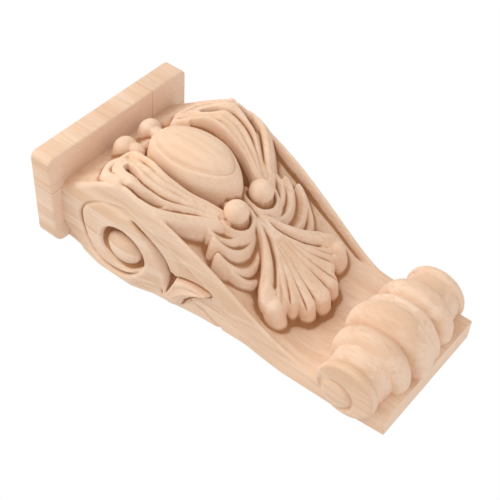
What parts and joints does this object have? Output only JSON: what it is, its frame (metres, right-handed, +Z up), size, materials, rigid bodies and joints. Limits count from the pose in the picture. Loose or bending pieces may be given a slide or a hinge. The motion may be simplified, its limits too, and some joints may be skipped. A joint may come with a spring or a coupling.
{
  "type": "wood corbel",
  "caption": "Carved wood corbel with a flat back and top cap, side scrolls, an egg-and-leaf front and a turned roll above its foot, fixed to a wall to carry a shelf or beam.",
  "frame": {"origin": "centre of the flat back face, midway between the foot and the cap's top", "axes": "+Z up towards the cap, +Y into the wall, the carved front faces -Y, X across"},
  "size_m": [0.1068, 0.0711, 0.22],
  "materials": {
    "wood": "bare sanded, matt"
  },
  "bodies": {
    "root": {"corbel": "wood"}
  },
  "joints": []
}
